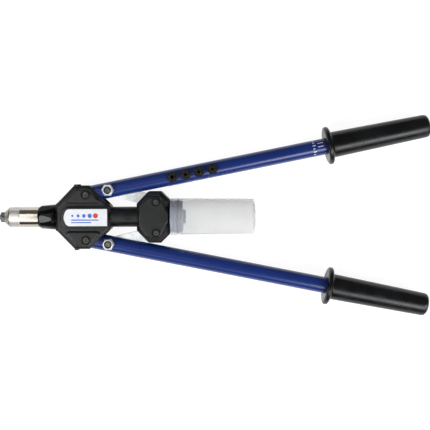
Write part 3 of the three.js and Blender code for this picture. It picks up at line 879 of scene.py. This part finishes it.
def collector():
    """Ribbed socket, its O-ring and the milky bottle."""
    low, high = span("collector_socket")
    root, crest, flange, neck, bore, seal_seat = 18.9, 19.6, 12.5, 10.5, 8.6, 18.2
    socket = lathe("socket_body", [
        (low.x, flange, 0.3), (-56.9, flange, 0.3), (-56.9, neck), (-53.4, neck), (-53.4, crest, 0.5),
        (-51.2, crest, 0.3), (-51.0, root, 0.2), (-49.6, root, 0.2), (-49.3, crest, 0.3),
        (-47.9, crest, 0.3), (-47.7, root, 0.2), (-46.4, root, 0.2), (-46.2, crest, 0.2),
        (-46.0, seal_seat), (-43.0, seal_seat), (-42.8, crest, 0.3), (-40.6, crest, 0.8),
        (high.x, 18.6, 0.3), (high.x, bore, 0.4), (low.x, bore),
    ])
    finish_piece(socket, TOOL, "crosshead", "slate_plastic", nodes=["collector_socket"])

    low, high = span("collector_seal")
    middle, half = (low.x + high.x) / 2, (high.x - low.x) / 2
    ring = []
    for i in range(16):
        turn = 2 * math.pi * i / 16
        ring.append((middle + half * math.cos(turn), high.y - half - 0.05 - half * math.sin(turn)))
    # The seal's dark colour is partly its own and partly painted shade of its groove.
    finish_piece(lathe("seal_ring", ring), TOOL, "crosshead", "rubber", nodes=["collector_seal"])

    low, high = span("collector_bottle")
    front_r, end_r, wall = 22.4, 21.6, 1.2
    bottle = lathe("bottle_body", [
        (low.x, front_r - 0.15, 0.3), (low.x + 1.2, front_r, 0.4), (high.x - 0.4, end_r, 1.8),
        (high.x, end_r - 3.0, 0.6), (high.x - 0.6, end_r - 4.2, 0.6), (high.x - 0.6, 0),
        (high.x - wall - 0.5, 0), (high.x - wall - 0.4, end_r - wall, 1.6),
        (low.x + 13, front_r - wall - 0.15, 3.0), (low.x, front_r - wall, 0.3),
    ], 128, 6)
    finish_piece(bottle, TOOL, "bottle", "milky_plastic", nodes=["collector_bottle"])


collector()


# ---------------------------------------------------------------- links

BOLT_HOLE_R, PIN_HOLE_R = 4.2, 5.9


def link_bar(word, sign):
    """A stamped flat link with rounded rims and an eye at each end."""
    length = math.hypot(LINK_PIN_X - BOLT.x, LINK_PIN_Y - BOLT.y)
    slope = math.atan2(LINK_PIN_Y - BOLT.y, LINK_PIN_X - BOLT.x)
    low, high = span(f"{word}_link")
    half_width, eye, sides = 7.0, 8.6, 18
    outline = []
    for i in range(sides + 1):
        turn = math.pi / 2 + math.pi * i / sides
        outline.append((half_width * math.cos(turn), half_width * math.sin(turn)))
    start = math.asin(half_width / eye)
    for i in range(2 * sides + 1):
        turn = -(math.pi - start) + 2 * (math.pi - start) * i / (2 * sides)
        outline.append((length + eye * math.cos(turn), eye * math.sin(turn)))
    bar = stack(f"{word}_link_plate", outline, both_rims(low.z, high.z, 0.45, 3))
    cut(bar, rod_z("bolt", BOLT_HOLE_R, -9, 9), rod_z("pin", PIN_HOLE_R, -9, 9, length, 0, 64))
    matrix = TOOL @ Matrix.Translation((BOLT.x, sign * BOLT.y, 0)) @ Matrix.Rotation(sign * slope, 4, "Z")
    finish_piece(bar, matrix, f"{word}_link_bar", "zinc", "link_zinc", [f"{word}_link"])


# ---------------------------------------------------------------- arms

TUBE_R, TUBE_BORE = 10.0, 8.0
TUBE_FRONT, TUBE_REAR = -9.0, 412.0
SLOT_HALF, SLOT_FRONT, SLOT_REAR = 3.1, 16.0, 97.0
SPARE_BORES = (2.2, 1.6, 1.5, 1.2)
GUARD_X = 295.4
GUARD_R = 22.95
GRIP_END = 422.3
FIRST_SPARE, SPARE_PITCH = 106.0, 16.4
PRINT_PROUD = 0.06
PIVOT_HOLE_R, SPARE_HOLE_R = 6.3, 3.3


def spare_along(index):
    """Distance of a spare nosepiece from the pivot."""
    return FIRST_SPARE + SPARE_PITCH * index


def arm_tube(word, sign):
    """A round tube with its slot for the link and its holes."""
    tube = lathe(f"{word}_tube", [
        (TUBE_FRONT, TUBE_R, 0.5), (TUBE_REAR, TUBE_R, 0.5), (TUBE_REAR, TUBE_BORE),
        (TUBE_FRONT, TUBE_BORE, 0.3),
    ], 96)
    slot = rounded_slot("slot", SLOT_FRONT, SLOT_REAR, SLOT_HALF, -sign)
    bolt_hole = rod_z("bolt", BOLT_HOLE_R, -20, 20, BOLT_ALONG)
    holes = [slot, rod_z("pivot", PIVOT_HOLE_R, -20, 20), bolt_hole]
    if sign > 0:
        holes += [rod_z("spare", SPARE_HOLE_R, 0, 20, spare_along(i)) for i in range(len(SPARE_BORES))]
    cut(tube, *holes)
    body = f"{word}_arm"
    finish_piece(tube, arm_frame(sign), body, "blue_paint", nodes=[f"{word}_arm_tube"], sharp=35)


def rounded_slot(name, x0, x1, half, inner):
    """A round-ended slot cutter through the inner wall of a tube."""
    outline = []
    for centre, start in ((x1, -math.pi / 2), (x0, math.pi / 2)):
        for i in range(13):
            turn = start + math.pi * i / 12
            outline.append((centre + half * math.cos(turn), half * math.sin(turn)))
    cutter = stack(name, outline, [(0, 0), (20, 0)])
    cutter.data.transform(Matrix.Rotation(-inner * math.pi / 2, 4, "X"))
    return cutter


def grip(word, sign):
    """A moulded grip sleeve with a round hand guard and a rimmed end."""
    body = lathe(f"{word}_grip_sleeve", [
        (GUARD_X, 20.2, 1.5), (GUARD_X + 0.9, 22.2, 1.2), (GUARD_X + 1.9, GUARD_R, 1.4),
        (GUARD_X + 5.0, GUARD_R, 1.4), (GUARD_X + 6.4, 21.0, 0.8), (GUARD_X + 6.9, 16.4, 1.2),
        (GUARD_X + 8.6, 15.6, 1.0), (GUARD_X + 30, 15.3, 20), (GRIP_END - 5.2, 13.85, 3.0),
        (GRIP_END - 2.4, 13.3, 1.6), (GRIP_END - 0.5, 11.3, 1.4), (GRIP_END, 9.6, 0.8),
        (GRIP_END, 8.6, 0.4), (GRIP_END - 0.6, 8.0, 0.4), (GRIP_END - 0.6, 0), (TUBE_REAR + 1.5, 0),
        (TUBE_REAR + 1.5, TUBE_R + 0.15), (GUARD_X, TUBE_R + 0.15, 0.4),
    ], 128, 6)
    finish_piece(body, arm_frame(sign), f"{word}_arm", "grip_plastic", nodes=[f"{word}_grip"], sharp=50)


NUT_ACROSS, NUT_SEAT = 13.0, 10.3
NUT_TURNS = {1: math.radians(-10), -1: math.radians(12)}


def threaded_bolt(word):
    """M8 bolt: chamfered head at the back, threads showing at the nut end."""
    bolt = hex_head(f"{word}_bolt", NUT_ACROSS, NUT_SEAT, 15.6, 1.1)
    bolt.data.transform(Matrix.Rotation(math.pi, 4, "X"))
    pitch, start, top = 1.25, 9.0, 18.2
    thread = [(-10.6, 0), (-10.6, 3.9), (start, 3.9)]
    z = start
    while z + pitch < top - 0.6:
        thread += [(z + 0.35 * pitch, 3.5, 0.12), (z + pitch, 3.95, 0.08)]
        z += pitch
    thread += [(top - 0.9, 3.75, 0.2), (top - 0.1, 2.9, 0.3), (top - 0.1, 1.2, 0.2), (top - 0.35, 0)]
    return join(bolt, turned_z("shank", thread, 56))


def lock_nut(word):
    """Nylon-insert lock nut: hexagon, chamfers both ends, rolled collar round the insert."""
    nut = hex_head(f"{word}_nut", NUT_ACROSS, NUT_SEAT, 16.0, 1.1, True)
    join(nut, turned_z("collar", [
        (14.6, 0), (14.6, 6.4), (15.9, 6.4, 0.4), (17.2, 6.15, 0.9), (17.8, 5.45, 0.5), (17.8, 0),
    ]))
    cut(nut, turned_z("core", [
        (9, 0), (9, 4.2), (15.2, 4.2), (15.2, 5.15), (17.4, 5.0, 0.3), (17.6, 4.7), (20, 4.7), (20, 0),
    ]))
    return soften(nut, 0.14, 25, 2)


def fastening(word, sign):
    """The link's bolt, its lock nut and the nut's nylon ring."""
    place = arm_frame(sign) @ Matrix.Translation((BOLT_ALONG, 0, 0))
    turned = place @ Matrix.Rotation(NUT_TURNS[sign], 4, "Z")
    body = f"{word}_arm"
    finish_piece(threaded_bolt(word), turned, body, "zinc", "bolt_steel", [f"{word}_link_bolt"])
    finish_piece(lock_nut(word), turned, body, "zinc", nodes=[f"{word}_lock_nut"])
    insert = turned_z(f"{word}_insert", [
        (15.5, 4.15), (15.5, 4.95), (17.3, 4.95, 0.3), (17.5, 4.15, 0.35),
    ], 56)
    finish_piece(insert, place, body, "nylon", nodes=[f"{word}_nut_insert"])


def spares():
    """Four spare nosepieces screwed into the upper arm, each stopped at its own turn."""
    for i, (bore, degrees) in enumerate(zip(SPARE_BORES, (12, 27, 40, 3))):
        piece = nosepiece(f"spare_nose_{i + 1}", bore, 3.8, 2.4)
        seat = Matrix.Translation((spare_along(i), 0, TUBE_R + 0.3))
        matrix = arm_frame(1) @ seat @ Matrix.Rotation(math.radians(degrees), 4, "Z")
        finish_piece(piece, matrix, "upper_arm", "black_steel", nodes=[f"spare_nosepiece_{i + 1}"])


def tube_print():
    """A small generic scale of ticks and bars printed round the tube in front of the grip."""
    marks = [(-16.5, 2.2 if i % 2 else 3.6, 0.55, 62 - 22 * i) for i in range(6)]
    marks += [(-10.5, 7.0, 0.45, 30 - 26 * i) for i in range(2)]
    for i, (x, length, half, turn) in enumerate(marks):
        low = (GUARD_X + x, -half, TUBE_R - 0.02)
        high = (GUARD_X + x + length, half, TUBE_R + PRINT_PROUD)
        mark = box_mesh(f"tube_mark_{i + 1}", low, high)
        mark.data.transform(Matrix.Rotation(-math.radians(turn), 4, "X"))
        finish_piece(mark, arm_frame(1), "upper_arm", "label", "print_white")


for sign, word in SIDES:
    arm_tube(word, sign)
    grip(word, sign)
    fastening(word, sign)
    link_bar(word, sign)
spares()
tube_print()

# ---------------------------------------------------------------- carried-over CAD nodes

CARRIED = {
    "steel": ["jaw_case", "jaw_pusher", "jaw_spring", "upper_link_spacer_front", "upper_link_spacer_back",
              "lower_link_spacer_front", "lower_link_spacer_back"],
    "black_steel": ["jaw_1", "jaw_2", "jaw_3"],
    "bronze": ["front_guide_bush", "rear_guide_bush", "upper_pivot_bush", "lower_pivot_bush"],
}
for material, names in CARRIED.items():
    for name in names:
        mesh = frame["nodes"][name].data
        mesh.materials.clear()
        mesh.materials.append(MATERIALS[material])

# ---------------------------------------------------------------- camera, floor and light


COOL, WHITE = (0.95, 0.97, 1.0), (1, 1, 1)
LIGHTS = (
    ("strip", (0.80, -0.70, 1.05), (0.55, -0.15, 0), 1.35, 0.5, 12.5, COOL),
    ("key", (0.95, -0.78, 1.05), (0.6, -0.1, 0), 1.1, 1.2, 9.0, COOL),
    ("fill", (-0.15, -1.0, 0.95), (-0.15, 0, 0), 0.9, 0.4, 1.2),
    ("overhead", (-0.20, -0.06, 1.13), (-0.20, -0.06, 0), 0.42, 0.14, 0.26),
    ("nose_strip", (-0.615, -0.19, 1.13), (-0.615, -0.19, 0), 0.27, 2.03, 4.1),
    ("nose_panel", (-0.87, -0.42, 1.13), (-0.2, 0, 0), 0.35, 0.35, 6.6),
    ("left_wall", (-1.3, 0, 0.35), (0, 0, 0.1), 1.6, 0.6, 0.15),
    ("top_wall", (0, 1.0, 0.75), (0, 0, 0), 2.4, 1.4, 0.75),
)
AIM_X, AIM_Y = 0.732, 1.708
VIEW_WIDTH = 524.6
CAMERA_HEIGHT, CAMERA_SHIFT_Y = 900.0, 45.0
CAMERA_ROLL = math.radians(-0.21)


def area_light(name, place, target, width, depth, watts, colour=WHITE):
    """A rectangular light aimed at a target, hidden from the camera."""
    data = bpy.data.lights.new(name, "AREA")
    data.shape = "RECTANGLE"
    data.size, data.size_y = width, depth
    data.energy = watts
    data.color = colour
    obj = bpy.data.objects.new(name, data)
    obj.location = place
    obj.rotation_euler = (Vector(target) - Vector(place)).to_track_quat("-Z", "Y").to_euler()
    obj.visible_camera = False
    bpy.context.scene.collection.objects.link(obj)


def studio():
    """Paper floor, dim sky seen pale by the camera, lights and the photo's camera."""
    floor = box_mesh("floor", (-3, -3, -0.02), (3, 3, 0))
    n = Nodes("floor_paper")
    n.colour(n.noise(3.0), [(0.3, (0.2, 0.2, 0.2)), (0.7, (0.22, 0.22, 0.22))])
    n.set(Roughness=0.8, Emission_Color=(1, 1, 1, 1), Emission_Strength=0.93)
    floor.data.materials.append(n.material)

    world = bpy.data.worlds.new("studio")
    bpy.context.scene.world = world
    world.use_nodes = True
    sky = world.node_tree
    dim, pale = sky.nodes["Background"], sky.nodes.new("ShaderNodeBackground")
    dim.inputs["Color"].default_value = (0.85, 0.9, 1.0, 1)
    dim.inputs["Strength"].default_value = 0.08
    pale.inputs["Color"].default_value = (0.86, 0.88, 0.90, 1)
    pale.inputs["Strength"].default_value = 1.0
    mixed, path = sky.nodes.new("ShaderNodeMixShader"), sky.nodes.new("ShaderNodeLightPath")
    sky.links.new(path.outputs["Is Camera Ray"], mixed.inputs["Fac"])
    sky.links.new(dim.outputs[0], mixed.inputs[1])
    sky.links.new(pale.outputs[0], mixed.inputs[2])
    sky.links.new(mixed.outputs[0], sky.nodes["World Output"].inputs["Surface"])
    for light in LIGHTS:
        area_light(*light)

    view = bpy.data.cameras.new("camera")
    view.sensor_width = 36
    view.clip_start, view.clip_end = 0.05, 20
    camera = bpy.data.objects.new("camera", view)
    bpy.context.scene.collection.objects.link(camera)
    aim = Vector((AIM_X, AIM_Y, MID_Z)) * MM
    camera.location = aim + Vector((0, CAMERA_SHIFT_Y, CAMERA_HEIGHT)) * MM
    camera.rotation_euler = (-math.atan2(CAMERA_SHIFT_Y, CAMERA_HEIGHT), 0, CAMERA_ROLL)
    view.lens = view.sensor_width * (camera.location - aim).length / (VIEW_WIDTH * MM)
    bpy.context.scene.camera = camera
    bpy.context.scene.view_settings.view_transform = "Standard"


studio()
